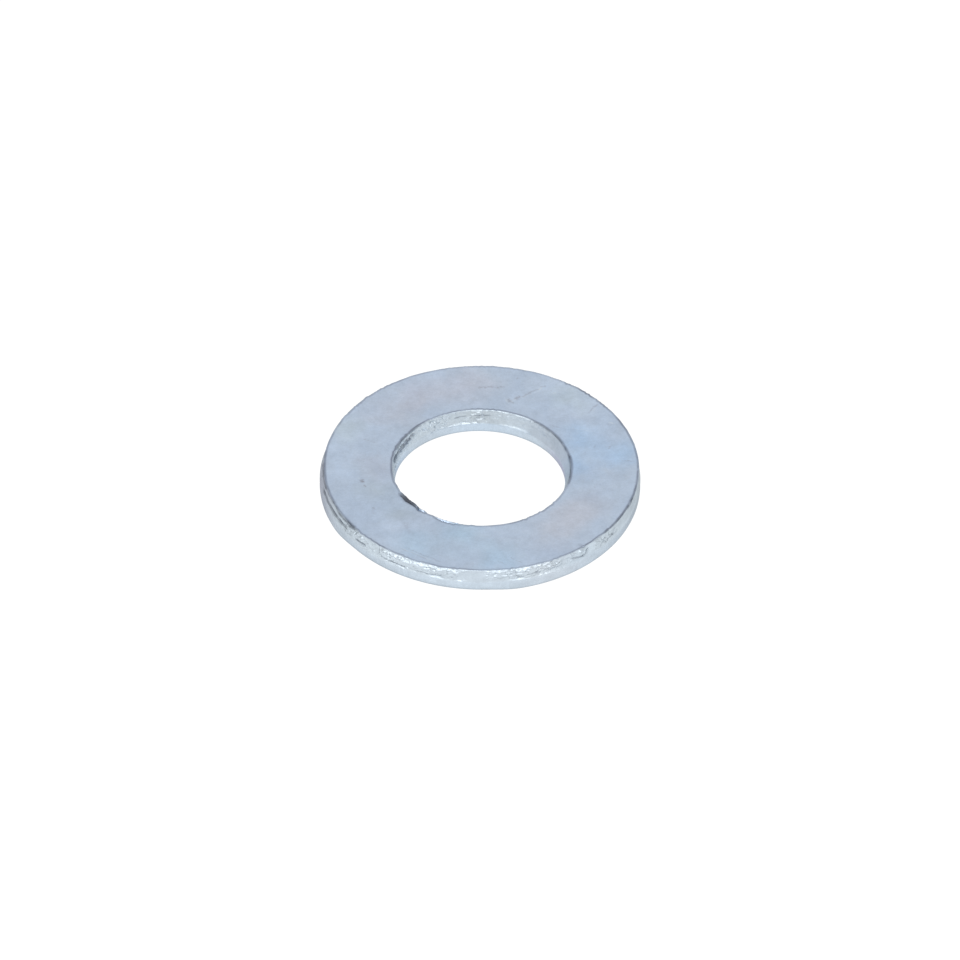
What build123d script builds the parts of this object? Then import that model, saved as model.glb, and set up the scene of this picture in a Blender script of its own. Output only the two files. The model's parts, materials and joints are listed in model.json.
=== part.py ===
from build123d import *
import os

# Flat washer for an M8 bolt, punched from steel strip in one stroke and zinc plated.
#
# It is a single ring. A punched ring has one smooth side and one sharp side, and both the rim and the hole's
# wall show the same three bands, from the lower face up:
#   roll      the edge that the die drew round as the cut began,
#   land      the smooth sheared band, which is the ring's widest and the hole's narrowest place,
#   fracture  the torn band, where the metal broke and both walls draw back from the land.
#
# Frame: millimetres, +Z along the hole's axis, origin at the centre of the lower face, which has the rolled
# edges and which the washer rests on. The sharp edges are at the top.

# Driving dimensions. The first three are those of an M8 plain washer, within its standard's tolerances.
outer_diameter = 16.0
hole_diameter = 8.5
thickness = 1.42

# The three bands, as heights. The land takes what the other two leave.
roll_radius = 0.34
fracture_height = 0.70

# How far the torn walls have drawn back from the lands by the upper face.
rim_draw_back = 0.18
hole_draw_back = 0.24

# Tumbling and plating leave the two upper edges only just broken.
edge_break = 0.05

outer_radius = outer_diameter / 2
hole_radius = hole_diameter / 2
land_top = thickness - fracture_height


def half_section():
    """The ring's cross-section on the +X side of the axis, as a face in the XZ plane."""
    with BuildSketch(Plane.XZ) as section:
        with BuildLine():
            lower_face = Line((hole_radius + roll_radius, 0), (outer_radius - roll_radius, 0))
            rim_roll = TangentArc(
                lower_face @ 1, (outer_radius, roll_radius), tangent=lower_face % 1
            )
            upper_walls = Polyline(
                rim_roll @ 1,
                (outer_radius, land_top),
                (outer_radius - rim_draw_back, thickness),
                (hole_radius + hole_draw_back, thickness),
                (hole_radius, land_top),
                (hole_radius, roll_radius),
            )
            TangentArc(upper_walls @ 1, lower_face @ 0, tangent=upper_walls % 1)
        make_face()
        upper_corners = section.vertices().group_by(Axis.Z)[-1]
        fillet(upper_corners, edge_break)
    return section.sketch


def flat_washer():
    """The whole ring: its half-section turned about the hole's axis."""
    return revolve(half_section(), axis=Axis.Z)


def main():
    os.makedirs("parts", exist_ok=True)
    export_step(flat_washer(), "parts/flat_washer.step")


main()
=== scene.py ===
import json
import math
from collections import namedtuple

import bpy
import numpy as np
from mathutils import Matrix, Vector


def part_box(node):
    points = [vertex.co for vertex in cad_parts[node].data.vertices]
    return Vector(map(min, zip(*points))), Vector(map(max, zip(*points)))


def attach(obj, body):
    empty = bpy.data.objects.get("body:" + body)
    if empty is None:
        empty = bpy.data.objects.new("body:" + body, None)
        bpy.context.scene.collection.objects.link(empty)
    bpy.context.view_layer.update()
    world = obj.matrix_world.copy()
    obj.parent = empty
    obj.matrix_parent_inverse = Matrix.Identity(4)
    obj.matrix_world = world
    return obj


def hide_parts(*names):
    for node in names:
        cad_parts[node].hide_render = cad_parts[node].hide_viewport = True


# The looks of a punched, zinc-plated flat washer, around its CAD ring.
#
# The ring's section is walked in rows: up the hole's wall, out across the upper face, down the rim's wall
# and back across the lower face. Each row is a closed curve round the ring, so rows and angles make one
# grid. Both walls are written the same way, by height and by "draw-back", the distance that the metal
# stands back from the wall's land. Lengths are millimetres until the mesh is made. Angles are degrees,
# counterclockwise from +X seen from above, so 270 is the side that faces the camera.

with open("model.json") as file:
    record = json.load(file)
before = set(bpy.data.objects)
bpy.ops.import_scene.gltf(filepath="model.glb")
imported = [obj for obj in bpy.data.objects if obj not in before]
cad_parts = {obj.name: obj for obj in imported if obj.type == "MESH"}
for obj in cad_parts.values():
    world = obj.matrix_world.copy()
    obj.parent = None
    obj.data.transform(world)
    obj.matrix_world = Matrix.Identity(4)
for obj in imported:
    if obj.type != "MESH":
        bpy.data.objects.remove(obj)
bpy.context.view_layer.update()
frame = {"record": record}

MM = 0.001

# ---------------------------------------------------------------- sizes that come from the frame
ring_low, ring_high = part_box("flat_washer")
bolt_hole = next(m for m in frame["record"]["mounts"] if m["name"] == "bolt_hole")
outer_radius = (ring_high.x - ring_low.x) / 2 / MM
thickness = (ring_high.z - ring_low.z) / MM
hole_radius = bolt_hole["dims"]["r_mm"]
land_middle = bolt_hole["pos_m"][2] / MM
land_height = bolt_hole["dims"]["length_mm"]
roll_radius = land_middle - land_height / 2
land_top = land_middle + land_height / 2

# ---------------------------------------------------------------- sizes of the punched shape
rim_draw_back = 0.12
hole_draw_back = 0.19
punch_offset = 0.06        # how far the upper outlines stand towards +X of the lower ones
burr_height = 0.016        # the raised lip round both edges of the upper face
land_waver = 0.05          # how far the top of the land wanders up and down
edge_waver = 0.012         # how far the upper edges wander in and out
edge_chips = 3.0           # how many times further the chips in them reach, on the ragged arcs
heavy_roll = (219, 272)    # the arc where the rim's lower edge is rounder than elsewhere
heavy_roll_fade = 14       # the degrees over which that roundness fades past each end
ragged_fade = 8            # the same for the ragged arcs
ledge_fade = 6             # and for the ledges
face_level = thickness - burr_height
brim_drop = 0.012          # how far below the upper face the walls' rows end

# The relief of the torn bands: how high each kind is, and how long and how tall its chips are.
wave_relief = 0.016
chip_relief, chip_size = 0.042, (0.32, 0.11)
grit_relief, grit_size = 0.013, (0.14, 0.07)
smooth_grit = 0.003        # the relief of the grit outside the ragged arcs
flake_size = (0.18, 0.10)  # the chips on a slant
tear_waver = 0.022         # how far a tear's line wanders up and down
tear_lip_drop = 1.8        # how many of its widths below a tear its lip lies
least_torn_back = 0.004    # the torn band stays at least this far back from the land

# ---------------------------------------------------------------- grid
ANGLES = 1200
ROLL_ROWS = 7
LAND_ROWS = 2
TORN_ROWS = 20
LOWER_FACE_ROWS = 2

angle = np.linspace(0.0, 2 * math.pi, ANGLES, endpoint=False)
degrees = np.degrees(angle)
turn = degrees / 360.0

# Rows on the upper face near each edge, by their distance from it.
hole_side_rows = (0.010, 0.028, 0.050, 0.080, 0.115, 0.160, 0.205, 0.250, 0.310, 0.400, 0.550)
rim_side_rows = (0.010, 0.028, 0.050, 0.080, 0.115, 0.160, 0.450)
middle_face_rows = 2
# The section of the lip: distances from the edge, the height at each as a share of the burr, and how much
# of the painted shade along the edge each carries. That painted shade stands in for the dark line along the
# burr.
lip_distances = (0.0, 0.010, 0.028, 0.050, 0.080, 0.115, 0.160)
lip_heights = (0.2, 0.50, 0.90, 1.00, 0.55, 0.12, 0.0)
lip_painted_shade = (0.0, 0.1, 0.7, 1.0, 1.0, 0.4, 0.0)

# A tear is a groove with a lip under it, along a wall. below is its depth under the upper face, and rise is
# how much nearer to the upper face it ends than it starts.
Tear = namedtuple("Tear", "start end below rise depth width")
# A slant is a stretch where the top of the torn band leans back in a ragged slope: how far down it reaches,
# and how far back it leans.
Slant = namedtuple("Slant", "start end reach lean")
# A gouge runs along the edge of the upper face, between the edge and a line that stands back from it by
# reach. It has a depth, a roughness of its floor, a darkness, which is painted shade in the gouge, and a
# lip that stands out past the edge.
Gouge = namedtuple("Gouge", "start end reach depth rough dark lip")
# A stretch of the painted shade round the edge of the upper face, its dark line, with its strength.
Dark = namedtuple("Dark", "start end strength")
# On a ledge the torn band starts with a step back from the land.
Ledge = namedtuple("Ledge", "start end step")
# A wall's side is 1 where its metal ends outwards and -1 where it ends inwards. Its ragged arcs are those
# where the torn band is chipped. roll is how round the lower edge is against the CAD's, extra_roll is what
# the heavy_roll arc adds to it, and land_shift moves the top of the land up or down. Every noise on a wall
# has its own seed, counted on from the wall's, so moving a tear, slant or gouge in its list changes it.
Wall = namedtuple(
    "Wall",
    "radius side draw_back roll extra_roll land_shift ragged ledges tears slants gouges darks seed",
)

rim = Wall(
    radius=outer_radius,
    side=1,
    draw_back=rim_draw_back,
    roll=0.9,
    extra_roll=0.58,
    land_shift=0.0,
    ragged=((40, 60), (76, 100), (128, 150), (216, 228), (230, 262), (276, 297), (319, 325)),
    ledges=(
        Ledge(40, 58, 0.045),
        Ledge(84, 110, 0.045),
        Ledge(160, 172, 0.045),
        Ledge(226, 244, 0.050),
        Ledge(247, 262, 0.055),
        Ledge(276, 303, 0.065),
    ),
    tears=(
        Tear(42, 56, 0.34, 0.05, 0.05, 0.035),
        Tear(62, 78, 0.46, -0.06, 0.05, 0.035),
        Tear(100, 119, 0.40, 0.10, 0.05, 0.035),
        Tear(140, 152, 0.50, 0.04, 0.04, 0.030),
        Tear(170, 202, 0.05, -0.02, 0.02, 0.036),
        Tear(176, 186, 0.22, 0.10, 0.05, 0.050),
        Tear(183, 193, 0.18, 0.04, 0.05, 0.050),
        Tear(196, 220, 0.03, 0.00, 0.03, 0.026),
        Tear(204, 219, 0.12, 0.06, 0.05, 0.028),
        Tear(187, 216, 0.38, 0.05, 0.07, 0.048),
        Tear(219, 225, 0.46, -0.02, 0.05, 0.030),
        Tear(232, 243, 0.54, -0.03, 0.06, 0.030),
        Tear(247, 252, 0.50, 0.00, 0.05, 0.030),
        Tear(287, 292, 0.44, 0.02, 0.05, 0.030),
        Tear(304.2, 311.4, 0.29, -0.22, 0.08, 0.055),
        Tear(309.9, 312.9, 0.55, 0.34, 0.07, 0.042),
        Tear(322, 327, 0.50, 0.04, 0.05, 0.034),
        Tear(316, 356, 0.02, 0.00, 0.01, 0.022),
        Tear(337, 343, 0.07, 0.00, 0.03, 0.040),
    ),
    slants=(
        Slant(229, 262, 0.50, 0.05),
        Slant(232, 245, 0.14, 0.09),
        Slant(246, 261, 0.12, 0.09),
        Slant(273, 290, 0.10, 0.06),
        Slant(284, 300, 0.12, 0.08),
        Slant(303, 309, 0.12, 0.05),
        Slant(214, 222, 0.16, 0.08),
        Slant(309.0, 310.6, 0.09, 0.10),
        Slant(316.5, 318.5, 0.16, 0.10),
    ),
    gouges=(Gouge(309.6, 311.4, 0.06, 0.04, 0.3, 0.8, 0.0),),
    # Stretches of painted shade along the rim's upper edge.
    darks=(
        Dark(2, 56, 0.95),
        Dark(60, 120, 0.45),
        Dark(120, 160, 0.60),
        Dark(162, 232, 0.85),
        Dark(236, 262, 0.6),
        Dark(265, 305, 0.5),
        Dark(306, 358, 0.95),
    ),
    seed=11,
)
hole = Wall(
    radius=hole_radius,
    side=-1,
    draw_back=hole_draw_back,
    roll=1.0,
    extra_roll=0.0,
    land_shift=-0.10,
    ragged=((84, 104), (117, 127), (148, 172), (200, 262), (300, 326)),
    ledges=(Ledge(58, 75, 0.025), Ledge(98, 122, 0.042), Ledge(236, 262, 0.030), Ledge(330, 350, 0.030)),
    tears=(
        Tear(83, 96, 0.30, 0.02, 0.02, 0.030),
        Tear(86, 96, 0.50, 0.00, 0.01, 0.022),
        Tear(99, 109, 0.32, -0.02, 0.03, 0.030),
        Tear(138, 158, 0.22, -0.08, 0.07, 0.060),
        Tear(142, 160, 0.36, -0.04, 0.04, 0.070),
        Tear(152, 173, 0.27, -0.05, 0.08, 0.070),
        Tear(165, 173, 0.20, 0.00, 0.06, 0.060),
        Tear(132, 166, 0.03, 0.00, 0.02, 0.034),
        Tear(262, 280, 0.36, 0.08, 0.05, 0.035),
        Tear(344, 374, 0.12, 0.06, 0.04, 0.060),
        Tear(340, 395, 0.02, 0.00, 0.02, 0.050),
        Tear(380, 420, 0.02, 0.00, 0.01, 0.022),
        Tear(402, 415, 0.01, 0.00, 0.01, 0.040),
    ),
    slants=(
        Slant(40, 78, 0.05, 0.018),
        Slant(86, 96, 0.10, 0.028),
        Slant(108, 150, 0.05, 0.028),
    ),
    gouges=(
        Gouge(205.5, 226, 0.26, 0.06, 0.1, 1.0, 0.08),
        Gouge(215, 227, 0.20, 0.04, 0.4, 0.30, 0.11),
        Gouge(223, 233, 0.17, 0.09, 0.8, 0.0, 0.06),
        Gouge(238, 258, 0.15, 0.07, 1.0, 0.0, 0.02),
    ),
    # Stretches of painted shade along the hole's upper edge.
    darks=(
        Dark(-14, 56, 1.0),
        Dark(56, 96, 0.7),
        Dark(96, 131, 0.6),
        Dark(131, 200, 1.0),
        Dark(200, 300, 0.6),
        Dark(300, 346, 0.6),
    ),
    seed=23,
)


# ---------------------------------------------------------------- noise and masks
def smooth_step(low, high, x):
    """0 below low, 1 above high, and an even curve between."""
    t = np.clip((x - low) / (high - low), 0.0, 1.0)
    return t * t * (3 - 2 * t)


def along_arc(start, end):
    """Where each angle stands on an arc: -1 at its start, 0 at its middle and 1 at its end."""
    middle, half = (start + end) / 2, (end - start) / 2
    return ((degrees - middle + 180) % 360 - 180) / half


def arc_mask(start, end, fade):
    """1 on the arc from start to end, falling to 0 within fade degrees past each end."""
    past_end = (np.abs(along_arc(start, end)) - 1) * (end - start) / 2
    return 1 - smooth_step(0, fade, past_end)


def ragged_mask(wall):
    """1 on a wall's ragged arcs, falling to 0 past their ends."""
    return np.max([arc_mask(start, end, ragged_fade) for start, end in wall.ragged], axis=0)


def smooth_noise(seed, up, length, size_around, size_up):
    """Smooth noise from -1 to 1 over a wall of that length round, for points at the heights up."""
    columns = max(3, round(length / size_around))
    lines = int(np.max(up) / size_up) + 3
    value = np.random.default_rng(seed).uniform(-1, 1, (lines, columns))
    across, along = np.broadcast_arrays(turn * columns, up / size_up)
    i, j = np.floor(along).astype(int), np.floor(across).astype(int)
    fade_up, fade_across = smooth_step(0, 1, along - i), smooth_step(0, 1, across - j)
    lower = value[i, j % columns] * (1 - fade_across) + value[i, (j + 1) % columns] * fade_across
    upper = value[i + 1, j % columns] * (1 - fade_across) + value[i + 1, (j + 1) % columns] * fade_across
    return lower * (1 - fade_up) + upper * fade_up


def line_noise(seed, length, size):
    """Smooth noise from -1 to 1 that changes only round the ring."""
    return smooth_noise(seed, np.zeros(1), length, size, 1.0)


def facet_noise(seed, up, length, size_around, size_up):
    """Flat-sided chips from about -1 to 1: each point takes the tilted plane of its nearest chip."""
    columns = round(length / size_around)
    lines = int(np.max(up) / size_up) + 4
    generator = np.random.default_rng(seed)
    shift_up, shift_across, lift, tilt_up, tilt_across = generator.uniform(-0.5, 0.5, (5, lines, columns))
    across, along = np.broadcast_arrays(turn * columns, up / size_up + 1)
    nearest = np.full(across.shape, np.inf)
    relief = np.zeros(across.shape)
    for step_up in (-1, 0, 1):
        for step_across in (-1, 0, 1):
            i = np.floor(along).astype(int) + step_up
            j = np.floor(across).astype(int) + step_across
            cell = (i, j % columns)
            from_up = along - i - 0.5 - shift_up[cell]
            from_across = across - j - 0.5 - shift_across[cell]
            distance = from_up**2 + from_across**2
            plane = lift[cell] + 2 * tilt_up[cell] * from_up + 2 * tilt_across[cell] * from_across
            relief = np.where(distance < nearest, plane, relief)
            nearest = np.minimum(distance, nearest)
    return relief


# ---------------------------------------------------------------- the ring's rows
def torn_relief(wall, height, share):
    """How far a wall's torn band stands in from its plain slope, and how deep in a groove each point is.
    The groove depth also weighs the painted shade in the grooves. share is 0 at the foot of the band and 1
    at its top. patches thin the chips out, and broken does the same to the ledges."""
    length = 2 * math.pi * wall.radius
    patches = np.clip(0.7 + 0.9 * smooth_noise(wall.seed + 7, height, length, 0.9, 0.35), 0.0, 1.2)
    ragged = ragged_mask(wall) * patches
    waves = wave_relief * smooth_noise(wall.seed, height, length, 1.1, 0.45)
    chips = chip_relief * ragged * facet_noise(wall.seed + 1, height, length, *chip_size)
    grit = (smooth_grit + grit_relief * ragged) * facet_noise(wall.seed + 2, height, length, *grit_size)
    broken = np.clip(0.8 + 0.55 * line_noise(wall.seed + 86, length, 0.55), 0.2, 1.2)
    steps = [ledge.step * arc_mask(ledge.start, ledge.end, ledge_fade) for ledge in wall.ledges]
    ledge = broken * np.max(steps, axis=0) * smooth_step(0.0, 0.19, share)
    inside = smooth_step(0.0, 0.12, share) * (1 - 0.8 * smooth_step(0.88, 1.0, share))
    relief = (waves + chips + grit) * inside + ledge * (1 - share)
    for number, slant in enumerate(wall.slants):
        relief = relief - slant_bulge(wall, slant, height, share, wall.seed + 60 + number)
    # The grooves of the tears also weigh the painted shade that darkens them.
    hollow = np.zeros(relief.shape)
    for number, tear in enumerate(wall.tears):
        groove, lip = tear_shape(wall, tear, height, wall.seed + 10 + number)
        relief = relief + tear.depth * (groove - 0.5 * lip)
        hollow = np.maximum(hollow, groove)
    return relief, hollow


def slant_bulge(wall, slant, height, share, seed):
    """How far the wall stands out under a slant, most at the slant's lower limit and nothing at its top."""
    length = 2 * math.pi * wall.radius
    reach = slant.reach * (1 + 0.5 * line_noise(seed, length, 0.35))
    flakes = np.clip(0.75 + 0.9 * facet_noise(seed + 1, height, length, *flake_size), 0.0, 1.7)
    rise = np.clip((height - (face_level - reach)) / reach, 0, 1)
    under = smooth_step(0.0, 0.6, share)
    return slant.lean * flakes * under * (1 - rise) * arc_mask(slant.start, slant.end, 1.5)


def tear_shape(wall, tear, height, seed):
    """A tear's groove and the lip under it, each 1 at its middle line and 0 away from it."""
    length = 2 * math.pi * wall.radius
    along = along_arc(tear.start, tear.end)
    line = thickness - tear.below + tear.rise * (along + 1) / 2
    line = line + tear_waver * line_noise(seed, length, 0.35)
    strength = smooth_step(0.0, 0.35, 1 - np.abs(along)) * (0.7 + 0.3 * line_noise(seed + 1, length, 0.3))
    groove = strength * np.exp(-(((height - line) / tear.width) ** 2))
    lip = strength * np.exp(-(((height - line + tear_lip_drop * tear.width) / tear.width) ** 2))
    return groove, lip


def painted_edge_shade(wall):
    """The strength of the painted shade round the edge of the upper face, its dark line, broken up by
    noise.
    """
    length = 2 * math.pi * wall.radius
    strength = np.max([dark.strength * arc_mask(dark.start, dark.end, 4) for dark in wall.darks], axis=0)
    return np.clip(strength * (0.85 + 0.3 * line_noise(wall.seed + 6, length, 0.5)), 0, 1)


Rows = namedtuple("Rows", "height back torn hollow edge")


def stack_rows(*groups):
    """One Rows value from several, joined in order."""
    return Rows(*(np.vstack(parts) for parts in zip(*groups)))


def plain_rows(height, back):
    """Rows with no torn weight and no painted shade."""
    height, back = np.broadcast_arrays(height + np.zeros(ANGLES), back + np.zeros(ANGLES))
    zero = np.zeros(height.shape)
    return Rows(height, back, zero, zero, zero)


def wall_rows(wall):
    """The rows of one wall from the lower face up, as far as the lip on the upper face's edge."""
    length = 2 * math.pi * wall.radius
    bend = np.linspace(0, math.pi / 2, ROLL_ROWS)[:, None]
    heavy = arc_mask(*heavy_roll, heavy_roll_fade)
    roll_size = roll_radius * (wall.roll + wall.extra_roll * heavy)
    roll = plain_rows(roll_size * (1 - np.cos(bend)), roll_size * (1 - np.sin(bend)))

    land_line = land_top + wall.land_shift + land_waver * line_noise(wall.seed + 3, length, 1.6)
    step = (np.arange(1, LAND_ROWS + 1) / (LAND_ROWS + 1))[:, None]
    land = plain_rows(roll_size + step * (land_line - roll_size), 0 * step)

    share = np.linspace(0, 1, TORN_ROWS)[:, None]
    torn_height = land_line + share * (face_level - brim_drop - land_line)
    relief, hollow = torn_relief(wall, torn_height, share)
    lip = np.max([gouge.lip * swell(gouge) for gouge in wall.gouges], axis=0) * smooth_step(0.5, 1.0, share)
    torn_back = np.maximum(wall.draw_back * share**0.9 + relief - lip, least_torn_back * (share > 0))
    torn_weight = smooth_step(0, 0.08, share) + 0 * torn_height
    torn = Rows(torn_height, torn_back, torn_weight, hollow, 0 * torn_height)

    chips = edge_chips * ragged_mask(wall) * line_noise(wall.seed + 9, length, 0.14)
    edge_back = torn_back[-1] + edge_waver * (line_noise(wall.seed + 5, length, 0.4) + chips)
    return stack_rows(roll, land, torn, edge_rows(wall, edge_back, hollow[-1]))


def swell(gouge):
    """How fully a gouge has opened at each angle: nothing at both ends and 1 in the middle."""
    return np.sqrt(np.clip(1 - along_arc(gouge.start, gouge.end) ** 2, 0, 1))


def edge_rows(wall, edge_back, edge_groove_shade):
    """The upper face's rows along a wall: a raised lip with painted shade along it as a dark line, and
    gouges that push it back.
    """
    length = 2 * math.pi * wall.radius
    distance = np.array(hole_side_rows if wall.side < 0 else rim_side_rows)[:, None] + np.zeros(ANGLES)
    height = np.full(distance.shape, face_level)
    # The painted shade of the torn band's top groove carries onto the edge, and each gouge adds painted
    # shade of its own.
    hollow = edge_groove_shade * (1 - smooth_step(0.0, 0.08, distance))
    set_back = np.zeros(ANGLES)
    for number, gouge in enumerate(wall.gouges):
        seed = wall.seed + 40 + 3 * number
        reach = gouge.reach * swell(gouge) * (1 + 0.2 * line_noise(seed, length, 0.4))
        across = np.clip(distance / np.maximum(reach, 0.001), 0, 1)
        bowl = np.sin(math.pi * across**1.3) * swell(gouge)
        floor_noise = 1 + gouge.rough * smooth_noise(seed + 1, 3 * distance, length, 0.12, 0.3)
        height = height - gouge.depth * bowl * floor_noise
        hollow = np.maximum(hollow, gouge.dark * swell(gouge) * (1 - smooth_step(0.7, 1.0, across)))
        set_back = np.maximum(set_back, 0.8 * reach)

    burr = burr_height * (0.6 + 0.4 * line_noise(wall.seed + 4, length, 0.5))
    past = np.maximum(distance - set_back, 0.0)
    height = np.minimum(height + burr * np.interp(past, lip_distances, lip_heights), thickness)
    # The painted shade along the edge, strongest on the lip's inner slope.
    edge = np.interp(past, lip_distances, lip_painted_shade) * painted_edge_shade(wall)
    zero = np.zeros(distance.shape)
    return Rows(height, edge_back + distance, zero, hollow, edge)


def across_face(from_radius, to_radius, level, count):
    """Rows between two edges of a face, evenly spaced, by height and radius."""
    share = (np.arange(1, count + 1) / (count + 1))[:, None]
    radius = from_radius + share * (to_radius - from_radius)
    return plain_rows(level, radius)


def ring_grid():
    """Every row of the section in walking order, with radius in place of draw-back."""
    hole_side, rim_side = wall_rows(hole), wall_rows(rim)
    inner = hole_side._replace(back=hole_radius + hole_side.back)
    outer = Rows(*(part[::-1] for part in rim_side._replace(back=outer_radius - rim_side.back)))
    upper = across_face(inner.back[-1], outer.back[0], face_level, middle_face_rows)
    lower = across_face(outer.back[-1], inner.back[0], 0.0, LOWER_FACE_ROWS)
    return stack_rows(inner, upper, outer, lower)


wall_count = ROLL_ROWS + LAND_ROWS + TORN_ROWS
rim_wall_start = wall_count + len(hole_side_rows) + middle_face_rows + len(rim_side_rows) - 1
rim_wall_end = rim_wall_start + wall_count


def wall_weight(rows):
    """1 on the rows of both walls and 0 on the faces."""
    weight = np.zeros(rows.height.shape)
    weight[:wall_count + 1] = 1
    weight[rim_wall_start:rim_wall_end + 1] = 1
    return weight


def grid_points(rows):
    """Every grid point, in metres, as rows by angles by 3."""
    shift = punch_offset * smooth_step(land_top - 0.1, thickness, rows.height)
    shift[-LOWER_FACE_ROWS:] = 0
    x = rows.back * np.cos(angle) + shift
    y = rows.back * np.sin(angle)
    return np.stack([x, y, rows.height], axis=-1) * MM


def grid_faces(rows_count):
    """The four corners of every face, as row and column numbers."""
    row, column = np.meshgrid(np.arange(rows_count), np.arange(ANGLES), indexing="ij")
    rows = np.stack([row, row + 1, row + 1, row], axis=-1).reshape(-1, 4)
    columns = np.stack([column, column, column + 1, column + 1], axis=-1).reshape(-1, 4)
    return rows, columns


def bake_map(points, rows, columns):
    """A flat map of every face corner to bake the material through: the faces as rings and, under them, the
    walls as strips, with the rim's in two halves."""
    spot = points[rows % len(points), columns % ANGLES] / MM
    first_row = rows.min(axis=1)[:, None]
    ring_scale = 0.24 / outer_radius
    on_upper = (first_row >= wall_count) & (first_row < rim_wall_start)
    centre_x = np.where(on_upper, 0.25, 0.75)
    ring = np.stack([centre_x + ring_scale * spot[..., 0], 0.75 + ring_scale * spot[..., 1]], axis=-1)

    step = np.linalg.norm(np.diff(points, axis=0), axis=-1).mean(axis=1)
    walked = np.concatenate([[0.0], np.cumsum(step), [0.0]])
    share = columns / ANGLES
    strip_left, strip_width, strip_height = 0.02, 0.96, 0.14
    hole_base, first_rim_base, second_rim_base = 0.34, 0.02, 0.18

    on_hole = first_row < wall_count
    up_hole = walked[rows] / walked[wall_count]
    hole_strip = np.stack([strip_left + strip_width * share, hole_base + strip_height * up_hole], axis=-1)

    second_half = columns.min(axis=1)[:, None] >= ANGLES // 2
    down_rim = (walked[rows] - walked[rim_wall_start]) / (walked[rim_wall_end] - walked[rim_wall_start])
    along = np.where(second_half, 2 * share - 1, 2 * share)
    rim_base = np.where(second_half, second_rim_base, first_rim_base)
    rim_strip = np.stack([strip_left + strip_width * along, rim_base + strip_height * down_rim], axis=-1)

    on_rim = (first_row >= rim_wall_start) & (first_row < rim_wall_end)
    return np.where(on_hole[..., None], hole_strip, np.where(on_rim[..., None], rim_strip, ring))


def make_ring():
    """The washer's mesh, with the weights that its material reads and the flat map to bake through."""
    section = ring_grid()
    points = grid_points(section)
    rows, columns = grid_faces(len(points))
    corners = (rows % len(points)) * ANGLES + columns % ANGLES

    mesh = bpy.data.meshes.new("flat_washer_plated")
    mesh.from_pydata(points.reshape(-1, 3).tolist(), [], corners.tolist())
    # Two of these weights place painted shade: in the grooves and gouges, and along the edges of the upper
    # face.
    weights = {
        "torn": section.torn,
        "hollow": section.hollow,
        "edge": section.edge,
        "wall": wall_weight(section),
    }
    for name, weight in weights.items():
        attribute = mesh.attributes.new(name, "FLOAT", "POINT")
        attribute.data.foreach_set("value", weight.astype(np.float32).ravel())
    layer = mesh.uv_layers.new(name="OFBake")
    layer.data.foreach_set("uv", bake_map(points, rows, columns).astype(np.float32).ravel())
    mesh.polygons.foreach_set("use_smooth", np.ones(len(mesh.polygons), bool))
    mesh.update()
    piece = bpy.data.objects.new("flat_washer_plated", mesh)
    bpy.context.scene.collection.objects.link(piece)
    return piece


washer = make_ring()
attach(washer, "root")
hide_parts("flat_washer")


# ---------------------------------------------------------------- material
def plain_material(name, color, roughness):
    """A material of one color and roughness."""
    material = bpy.data.materials.new(name)
    material.use_nodes = True
    shader = material.node_tree.nodes["Principled BSDF"]
    shader.inputs["Base Color"].default_value = (*color, 1.0)
    shader.inputs["Roughness"].default_value = roughness
    return material


class Wiring:
    """Adds nodes to one material. Its methods take sockets or plain values, and each but feed returns the
    output socket of what it adds."""

    def __init__(self, material):
        self.tree = material.node_tree

    def feed(self, socket, source):
        if isinstance(source, bpy.types.NodeSocket):
            self.tree.links.new(source, socket)
        elif source is not None:
            socket.default_value = source

    def add(self, kind, *sources, output=0, **settings):
        """A node with these settings, whose first inputs are fed in order."""
        node = self.tree.nodes.new(kind)
        for name, value in settings.items():
            setattr(node, name, value)
        for socket, source in zip(node.inputs, sources):
            self.feed(socket, source)
        return node.outputs[output]

    def math(self, operation, first, second=None):
        return self.add("ShaderNodeMath", first, second, operation=operation)

    def vector(self, operation, first, second=None, output=0):
        return self.add("ShaderNodeVectorMath", first, second, operation=operation, output=output)

    def scaled(self, vector, factor):
        node = self.tree.nodes.new("ShaderNodeVectorMath")
        node.operation = "SCALE"
        self.feed(node.inputs["Vector"], vector)
        self.feed(node.inputs["Scale"], factor)
        return node.outputs[0]

    def spread(self, value, low, high, to_low=0.0, to_high=1.0, smooth=True):
        """value from low..high to to_low..to_high, and held there past both ends."""
        kind = "SMOOTHSTEP" if smooth else "LINEAR"
        return self.add("ShaderNodeMapRange", value, low, high, to_low, to_high, interpolation_type=kind)

    def noise(self, vector, size, detail=2.0, roughness=0.5, output="Fac"):
        """Noise whose largest blobs are about size millimetres across."""
        node = self.tree.nodes.new("ShaderNodeTexNoise")
        self.feed(node.inputs["Vector"], vector)
        node.inputs["Scale"].default_value = 1 / (size * MM)
        node.inputs["Detail"].default_value = detail
        node.inputs["Roughness"].default_value = roughness
        return node.outputs[output]

    def shaken(self, vector, size, amount, detail=2.0):
        """Coordinates pushed about by up to half of amount, in millimetres."""
        push = self.vector("SUBTRACT", self.noise(vector, size, detail, output="Color"), (0.5, 0.5, 0.5))
        return self.vector("ADD", vector, self.scaled(push, amount * MM))

    def blend(self, factor, first, second, kind="MIX"):
        node = self.tree.nodes.new("ShaderNodeMix")
        node.data_type = "RGBA"
        node.blend_type = kind
        factor_socket, first_socket, second_socket = node.inputs[0], node.inputs[6], node.inputs[7]
        self.feed(factor_socket, factor)
        self.feed(first_socket, first if isinstance(first, bpy.types.NodeSocket) else (*first, 1.0))
        self.feed(second_socket, second if isinstance(second, bpy.types.NodeSocket) else (*second, 1.0))
        return node.outputs[2]

    def attribute(self, name):
        return self.add("ShaderNodeAttribute", attribute_name=name, output=2)


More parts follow.
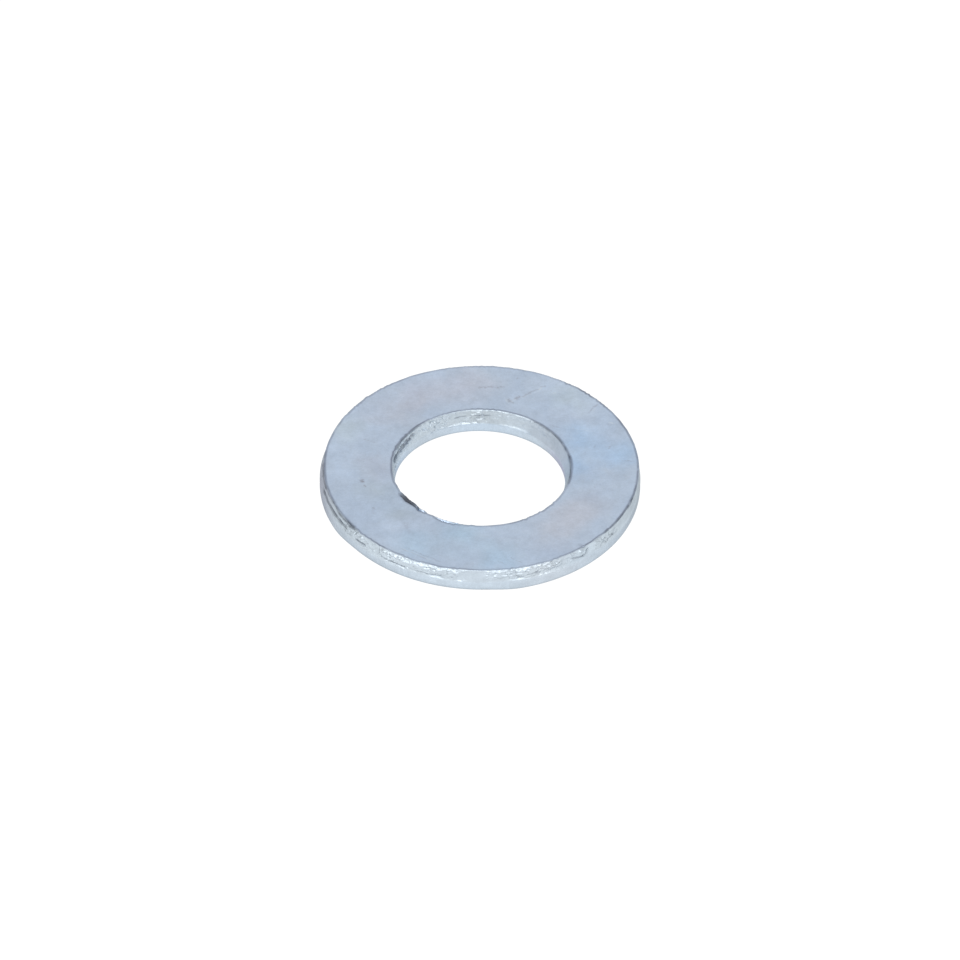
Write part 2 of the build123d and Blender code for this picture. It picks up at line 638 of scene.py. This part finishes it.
# Tints of the plate. The faces have the bluer film, which drifts between cool and warm.
FACE_BLUE = (0.586, 0.694, 0.850)
WALL_GREY = (0.545, 0.627, 0.708)
TORN_GREY = (0.560, 0.636, 0.700)
STREAK_GREY = (0.470, 0.530, 0.600)
# Painted shade: a near black laid in the tears and gouges, where shade falls in the grooves.
GROOVE_PAINTED_SHADE = (0.10, 0.12, 0.165)
# Painted shade along the edges of the upper face, standing in for the dark line along the burr.
EDGE_PAINTED_SHADE = (0.20, 0.22, 0.295)
MARK_DARK = (0.36, 0.37, 0.43)
# A painted highlight: the glints on the raised lips of scratches.
PAINTED_GLINT = (0.80, 0.88, 0.95)
COOL_FILM = (0.985, 1.0, 1.018)
WARM_FILM = (1.015, 1.0, 0.982)
# The next two strengths are for painted shade.
EDGE_SHADE_STRENGTH = 0.80       # how fully the dark line round an edge covers the plate
GROOVE_SHADE_STRENGTH = 0.92     # the same for the tears and gouges
GRAZING_GREY = 0.50        # how much of its brightness the plate keeps at a grazing angle

# Clouds that change the tint: x, y and radius, and what they do to the tint. Each list lies on something
# else:
# the faces, both walls, the lands only, the torn bands only, or the painted shade in the grooves. On the
# faces, lands and torn bands they are where the film is thicker or thinner. On both walls they are partly
# painted light
# and shade: they darken the rim's left side and the hole's right wall and lighten the hole's left wall.
Cloud = namedtuple("Cloud", "x y radius tint")
BROWN, ROSE, BLUE, TEAL, PALE, DULL, LIGHT, SHADE = (
    (1.049, 0.99, 0.956),
    (1.055, 0.985, 0.96),
    (0.90, 1.00, 1.08),
    (0.95, 1.01, 1.02),
    (1.04, 1.04, 0.99),
    (0.95, 0.94, 0.90),
    (1.09, 1.08, 1.07),
    (0.93, 0.93, 0.94),
)
face_clouds = (
    Cloud(5.2, -2.9, 2.0, BROWN),
    Cloud(4.5, -3.9, 1.8, BROWN),
    Cloud(3.5, -4.8, 2.0, BROWN),
    Cloud(5.0, 2.3, 1.9, BLUE),
    Cloud(4.8, 0.2, 1.6, BLUE),
    Cloud(6.9, 1.2, 1.8, BLUE),
    Cloud(-4.5, 4.7, 2.4, ROSE),
    Cloud(-3.0, 5.8, 2.1, ROSE),
    Cloud(-0.8, 6.2, 2.2, ROSE),
    Cloud(-3.2, -6.1, 1.6, TEAL),
    Cloud(-1.2, -5.4, 1.7, TEAL),
    Cloud(0.9, -6.7, 1.6, TEAL),
    Cloud(4.6, 5.6, 1.8, PALE),
    Cloud(-6.7, 2.6, 1.5, PALE),
    Cloud(-5.3, -1.8, 1.4, DULL),
    Cloud(-3.9, -3.4, 1.2, DULL),
    Cloud(0.0, 7.4, 1.6, LIGHT),
    Cloud(-5.5, 3.2, 1.7, LIGHT),
    Cloud(-7.0, 1.6, 1.3, LIGHT),
    Cloud(-3.8, -6.4, 1.4, LIGHT),
    Cloud(3.7, 6.4, 1.5, (1.06, 1.06, 1.06)),
    Cloud(5.3, 5.1, 1.5, LIGHT),
    Cloud(5.4, 3.1, 1.3, LIGHT),
    Cloud(-4.4, -4.3, 1.0, LIGHT),
    Cloud(5.1, 0.0, 1.3, SHADE),
    Cloud(-5.1, 0.1, 1.4, SHADE),
    Cloud(3.7, -6.4, 1.4, SHADE),
    Cloud(5.7, -2.4, 1.4, SHADE),
    Cloud(-3.6, -3.7, 1.3, SHADE),
    Cloud(0.0, 6.2, 2.2, (1.06, 1.03, 1.00)),
    Cloud(-3.9, 3.5, 1.8, (1.00, 0.97, 0.94)),
    Cloud(-4.7, 5.2, 1.8, (1.01, 1.04, 1.04)),
    Cloud(-5.0, 0.0, 1.6, (1.02, 0.98, 0.96)),
    Cloud(-0.3, -5.1, 1.6, (1.00, 1.04, 1.04)),
    Cloud(0.9, -7.2, 2.0, (0.96, 0.985, 1.005)),
    Cloud(-3.6, 6.3, 1.3, (0.96, 0.97, 0.98)),
    Cloud(-2.6, 4.5, 1.2, (0.98, 0.96, 0.95)),
    Cloud(-4.5, -2.6, 1.3, (0.96, 0.97, 0.975)),
    Cloud(4.3, 4.3, 1.2, (1.04, 1.03, 1.03)),
)

# Painted light and shade on the sides of the walls, with a little tint.
wall_side_shading = (
    Cloud(-8.0, -0.6, 3.6, (0.88, 0.83, 0.87)),
    Cloud(3.7, -7.0, 2.6, (1.03, 1.00, 0.98)),
    Cloud(4.2, 0.6, 2.6, (0.92, 0.92, 0.99)),
    Cloud(-4.2, 0.6, 3.0, (1.06, 1.09, 1.13)),
    Cloud(0.0, 4.2, 3.0, (0.98, 1.01, 1.04)),
)

land_clouds = (
    Cloud(4.0, 1.4, 2.2, (1.05, 0.97, 1.02)),
    Cloud(-4.1, 0.8, 2.2, (1.02, 1.04, 1.07)),
    Cloud(-1.2, -7.9, 3.6, (1.05, 1.05, 1.05)),
    Cloud(3.9, -7.0, 2.4, (0.96, 0.96, 0.965)),
    Cloud(-7.2, -3.2, 2.0, (1.08, 1.06, 1.05)),
)

torn_clouds = (
    Cloud(0.0, 4.2, 2.8, (0.93, 0.885, 0.84)),
    Cloud(3.2, 2.9, 2.6, (0.86, 0.85, 0.87)),
    Cloud(4.2, 0.0, 2.0, (0.90, 0.96, 0.98)),
    Cloud(0.0, -8.0, 2.6, (0.94, 0.94, 0.95)),
    Cloud(-4.4, -6.7, 2.6, (1.06, 1.06, 1.06)),
    Cloud(4.6, -6.6, 2.4, (0.95, 0.98, 1.01)),
    Cloud(7.8, -2.0, 2.6, (1.08, 1.08, 1.08)),
)

# The painted shade in the gouge at the hole's near-left side is tinted brown by this cloud.
groove_shade_clouds = (Cloud(-3.8, -2.3, 2.0, (0.72, 0.60, 0.52)),)

# Scratches and dents on the upper face, from one end to the other, with a width and a strength. The dark
# ones are the marks' own colour; the bright ones are painted highlights, glints on their raised lips.
Mark = namedtuple("Mark", "x y end_x end_y width strength")
dark_marks = (
    Mark(1.36, 5.29, 1.48, 5.14, 0.170, 0.55),
    Mark(1.50, 5.12, 1.62, 5.03, 0.110, 0.40),
    Mark(1.77, 5.34, 1.92, 5.49, 0.210, 0.62),
    Mark(2.00, 5.50, 2.25, 5.62, 0.120, 0.35),
    Mark(2.25, 5.70, 2.55, 5.90, 0.120, 0.45),
    Mark(2.55, 5.92, 2.95, 6.15, 0.090, 0.35),
    Mark(-0.10, 6.16, 0.25, 6.20, 0.120, 0.45),
    Mark(0.35, 6.26, 0.62, 6.24, 0.110, 0.38),
    Mark(0.78, 6.18, 1.12, 6.24, 0.110, 0.40),
    Mark(5.42, 4.38, 5.60, 4.72, 0.090, 0.35),
    Mark(5.60, 4.72, 5.84, 4.92, 0.100, 0.40),
    Mark(6.40, 3.42, 6.48, 3.38, 0.110, 0.40),
    Mark(3.02, 6.28, 3.22, 6.36, 0.120, 0.40),
    Mark(3.50, 3.33, 4.35, 3.00, 0.060, 0.25),
    Mark(7.05, 0.67, 7.60, 0.64, 0.060, 0.35),
    Mark(1.60, -6.83, 2.15, -7.25, 0.055, 0.35),
    Mark(0.95, -7.10, 1.35, -7.40, 0.050, 0.35),
    Mark(-3.50, -6.25, -1.90, -7.25, 0.060, 0.30),
    Mark(-3.95, -6.20, -2.60, -7.05, 0.050, 0.25),
    Mark(-5.80, 2.10, -5.30, 1.85, 0.060, 0.30),
    Mark(-5.88, -1.10, -5.86, -1.22, 0.170, 1.00),
    Mark(-5.78, -1.48, -5.72, -1.54, 0.100, 0.60),
    Mark(-5.30, -3.20, -5.25, -3.62, 0.110, 0.40),
    Mark(-3.65, -4.35, -3.40, -5.15, 0.250, 0.22),
    Mark(5.20, 1.22, 5.24, 1.26, 0.085, 0.40),
    Mark(6.42, 1.58, 6.45, 1.70, 0.090, 0.35),
    Mark(5.68, 1.68, 5.71, 1.73, 0.080, 0.30),
    Mark(5.68, -1.40, 5.73, -1.42, 0.080, 0.30),
    Mark(5.60, -3.80, 5.63, -3.84, 0.080, 0.30),
    Mark(3.50, 6.00, 3.54, 6.05, 0.090, 0.35),
    Mark(1.79, 6.92, 1.83, 6.95, 0.090, 0.30),
)
# Painted highlights: glints on the raised lips of scratches on the upper face.
painted_glints = (
    Mark(1.22, 5.22, 1.50, 4.98, 0.080, 0.40),
    Mark(1.56, 5.18, 1.70, 5.26, 0.100, 0.40),
    Mark(2.00, 5.42, 2.90, 5.98, 0.060, 0.30),
    Mark(2.92, 6.12, 3.00, 6.22, 0.110, 0.70),
    Mark(6.48, 3.58, 6.56, 3.54, 0.110, 0.50),
    Mark(3.60, 5.78, 3.75, 5.84, 0.080, 0.35),
    Mark(5.54, 4.32, 5.72, 4.64, 0.070, 0.30),
    Mark(-3.75, -6.30, -2.10, -7.28, 0.060, 0.30),
    Mark(4.60, 3.10, 5.60, 2.90, 0.050, 0.25),
    Mark(-6.05, -0.90, -6.00, -0.95, 0.080, 0.35),
)


def clouded(wiring, place, color, clouds, level):
    """The color with these clouds on it. Their centres are at the height level."""
    for cloud in clouds:
        centre = (cloud.x * MM, cloud.y * MM, level * MM)
        distance = wiring.vector("DISTANCE", place, centre, output=1)
        inside = wiring.spread(distance, 0.0, cloud.radius * MM, 1.0, 0.0)
        color = wiring.blend(inside, color, wiring.blend(1.0, color, cloud.tint, "MULTIPLY"))
    return color


def face_tint(wiring, place):
    """The clouded film on a face."""
    shifted = wiring.shaken(place, 1.6, 2.0, 3.0)
    drift = wiring.spread(wiring.noise(shifted, 2.2, 4.0, 0.7), 0.3, 0.7, smooth=False)
    tint = wiring.blend(drift, COOL_FILM, WARM_FILM)
    color = wiring.blend(1.0, FACE_BLUE, tint, "MULTIPLY")
    return clouded(wiring, shifted, color, face_clouds, thickness)


def mark_shade(wiring, place, marks):
    """How strongly these marks show, from 0 to 1."""
    ragged = wiring.spread(wiring.noise(place, 0.12), 0.35, 0.60, 0.25, 1.0)
    flat = wiring.vector("MULTIPLY", wiring.shaken(place, 0.30, 0.20), (1.0, 1.0, 0.0))
    total = None
    for mark in marks:
        start = Vector((mark.x, mark.y, 0)) * MM
        reach = Vector((mark.end_x, mark.end_y, 0)) * MM - start
        from_start = wiring.vector("SUBTRACT", flat, tuple(start))
        share = wiring.vector("DOT_PRODUCT", from_start, tuple(reach / reach.length_squared), output=1)
        share = wiring.math("MAXIMUM", wiring.math("MINIMUM", share, 1.0), 0.0)
        distance = wiring.vector("DISTANCE", from_start, wiring.scaled(tuple(reach), share), output=1)
        shade = wiring.spread(distance, 0.0, mark.width * MM, mark.strength, 0.0)
        total = shade if total is None else wiring.math("MAXIMUM", total, shade)
    return wiring.math("MULTIPLY", total, ragged)


def round_the_wall(wiring, place, squeeze):
    """Coordinates on a wall whose height is squeezed, so that noise on them draws upright streaks."""
    outward = wiring.vector("NORMALIZE", wiring.vector("MULTIPLY", place, (1.0, 1.0, 0.0)))
    ring = wiring.scaled(outward, outer_radius * MM)
    return wiring.vector("ADD", ring, wiring.vector("MULTIPLY", place, (0.0, 0.0, squeeze)))


def wall_tint(wiring, place, streak):
    """The walls' greys: one for the rolls and lands and one for the torn bands, under upright streaks, with
    painted light and shade on the sides of the walls.
    """
    land_tint = clouded(wiring, place, WALL_GREY, land_clouds, roll_radius)
    torn_tint = clouded(wiring, place, TORN_GREY, torn_clouds, land_top)
    color = wiring.blend(wiring.attribute("torn"), land_tint, torn_tint)
    color = wiring.blend(wiring.spread(streak, 0.35, 0.7, 0.0, 0.25), color, STREAK_GREY)
    # Painted light and shade on the sides of the walls.
    return clouded(wiring, place, color, wall_side_shading, thickness / 2)


def plate_tint(wiring, place, streak, marked, glint_paint):
    """The whole plate's tint: the marked faces with their painted glints, the walls, and over them the
    painted shade along the edges and in the tears and gouges.
    """
    face = wiring.blend(marked, face_tint(wiring, place), MARK_DARK)
    # Painted highlights: glints on the raised lips of scratches.
    face = wiring.blend(glint_paint, face, PAINTED_GLINT)
    color = wiring.blend(wiring.attribute("wall"), face, wall_tint(wiring, place, streak))
    # Painted shade along the edges of the upper face.
    edge = wiring.math("MULTIPLY", wiring.attribute("edge"), EDGE_SHADE_STRENGTH)
    color = wiring.blend(edge, color, EDGE_PAINTED_SHADE)
    # Painted shade in the tears and gouges, darkest in the grooves.
    hollow = wiring.math("MULTIPLY", wiring.attribute("hollow"), GROOVE_SHADE_STRENGTH)
    return wiring.blend(hollow, color, clouded(wiring, place, GROOVE_PAINTED_SHADE, groove_shade_clouds, thickness))


def plate_roughness(wiring, place):
    """Satin, a little rougher where the metal is torn."""
    roughness = wiring.spread(wiring.noise(place, 0.30), 0.3, 0.7, 0.34, 0.39)
    return wiring.math("ADD", roughness, wiring.math("MULTIPLY", wiring.attribute("torn"), 0.03))


def plate_bump(wiring, place, streak, marked):
    """A bump node's normal, from fine pits all over, streaks on the walls, and sunken marks on the face."""
    pits = wiring.noise(place, 0.10, 3.0, 0.6)
    streaked = wiring.math("ADD", pits, wiring.math("MULTIPLY", streak, 2.0))
    relief = wiring.blend(wiring.attribute("wall"), pits, streaked)
    relief = wiring.math("SUBTRACT", relief, wiring.math("MULTIPLY", marked, 2.0))
    bump = wiring.tree.nodes.new("ShaderNodeBump")
    bump.inputs["Strength"].default_value = 0.5
    bump.inputs["Distance"].default_value = 0.002 * MM
    wiring.feed(bump.inputs["Height"], relief)
    return bump.outputs["Normal"]


def make_plate():
    """Zinc plate with a clear blue film: satin on the faces, streaked on the lands, dull where torn."""
    material = plain_material("zinc_plate", FACE_BLUE, 0.36)
    shader = material.node_tree.nodes["Principled BSDF"]
    shader.inputs["Metallic"].default_value = 1.0
    shader.inputs["Specular Tint"].default_value = (GRAZING_GREY, GRAZING_GREY, GRAZING_GREY, 1.0)
    wiring = Wiring(material)
    place = wiring.add("ShaderNodeTexCoord", output=3)
    height = wiring.add("ShaderNodeSeparateXYZ", place, output=2)

    grain = wiring.spread(wiring.noise(place, 2.6, 7.0, 0.95), 0.3, 0.7, 0.85, 1.15, smooth=False)
    streak = wiring.noise(round_the_wall(wiring, place, 0.12), 0.12, 3.0, 0.6)
    upper = wiring.spread(height, (thickness - 0.2) * MM, (thickness - 0.05) * MM)
    marked = wiring.math("MULTIPLY", mark_shade(wiring, place, dark_marks), upper)
    # Where the painted glints lie on the upper face.
    glint_paint = wiring.math("MULTIPLY", mark_shade(wiring, place, painted_glints), upper)

    color = plate_tint(wiring, place, streak, marked, glint_paint)
    wiring.feed(shader.inputs["Base Color"], wiring.scaled(color, grain))
    wiring.feed(shader.inputs["Roughness"], plate_roughness(wiring, place))
    wiring.feed(shader.inputs["Normal"], plate_bump(wiring, place, streak, marked))
    return material


washer.data.materials.append(make_plate())


# ---------------------------------------------------------------- stage
def make_floor():
    """A white floor that glows a little, like a light table, so that the washer's shadow is faint."""
    floor_radius = 1.5
    sides = 96
    around = np.linspace(0, 2 * math.pi, sides, endpoint=False)
    ring = [(floor_radius * math.cos(a), floor_radius * math.sin(a), 0.0) for a in around]
    mesh = bpy.data.meshes.new("floor")
    mesh.from_pydata(ring, [], [tuple(range(sides))])
    floor = bpy.data.objects.new("floor", mesh)
    bpy.context.scene.collection.objects.link(floor)
    material = plain_material("pale_floor", (0.12, 0.12, 0.12), 0.9)
    shader = material.node_tree.nodes["Principled BSDF"]
    shader.inputs["Specular IOR Level"].default_value = 0.1
    shader.inputs["Emission Color"].default_value = (1.0, 1.0, 1.0, 1.0)
    shader.inputs["Emission Strength"].default_value = 0.96
    floor.data.materials.append(material)


def make_soft_box(name, place, width, height, power):
    """A soft light at place, facing the washer."""
    light = bpy.data.lights.new(name, "AREA")
    light.shape = "RECTANGLE"
    light.size = width
    light.size_y = height
    light.energy = power
    lamp = bpy.data.objects.new(name, light)
    lamp.location = place
    lamp.rotation_euler = (-Vector(place)).to_track_quat("-Z", "Y").to_euler()
    lamp.visible_camera = False
    bpy.context.scene.collection.objects.link(lamp)


def make_world():
    """A white tent, even overhead. Low down it is brighter in front of the washer and darker behind it."""
    world = bpy.data.worlds.new("studio")
    world.use_nodes = True
    wiring = Wiring(world)
    background = world.node_tree.nodes["Background"]
    direction = wiring.add("ShaderNodeTexCoord", output=0)
    split = world.node_tree.nodes.new("ShaderNodeSeparateXYZ")
    wiring.feed(split.inputs[0], direction)
    front, behind, overhead, underneath = 1.00, 0.30, 0.79, 1.1
    low = wiring.spread(split.outputs["Y"], -0.7, 0.7, front, behind)
    up = wiring.spread(split.outputs["Z"], 0.05, 0.60)
    tent = wiring.add("ShaderNodeMix", up, None, low, overhead, output=0)
    below = wiring.math("LESS_THAN", split.outputs["Z"], 0.0)
    strength = wiring.add("ShaderNodeMix", below, None, tent, underneath, output=0)
    wiring.feed(background.inputs["Strength"], strength)
    background.inputs["Color"].default_value = (1.0, 1.0, 1.0, 1.0)
    bpy.context.scene.world = world


def make_camera():
    """A long lens from the front, looking down, so that the view has almost no perspective."""
    elevation = math.radians(40.5)
    distance = 0.75
    frame_width = 47.9 * MM
    roll = math.radians(0.7)
    aim = Vector((0.0, 0.0, 0.582 * MM))
    back = Vector((0.0, -math.cos(elevation), math.sin(elevation)))
    data = bpy.data.cameras.new("camera")
    data.sensor_width = 36.0
    data.lens = data.sensor_width * distance / frame_width
    data.clip_start = 0.1
    data.clip_end = 10.0
    camera = bpy.data.objects.new("camera", data)
    facing = (-back).to_track_quat("-Z", "Y").to_matrix().to_4x4()
    camera.matrix_world = Matrix.Translation(aim + back * distance) @ facing @ Matrix.Rotation(roll, 4, "Z")
    bpy.context.scene.collection.objects.link(camera)
    bpy.context.scene.camera = camera


make_floor()
make_soft_box("front", place=(-0.20, -1.45, 1.10), width=3.8, height=1.5, power=24.0)
make_world()
make_camera()
bpy.context.scene.view_settings.view_transform = "Standard"
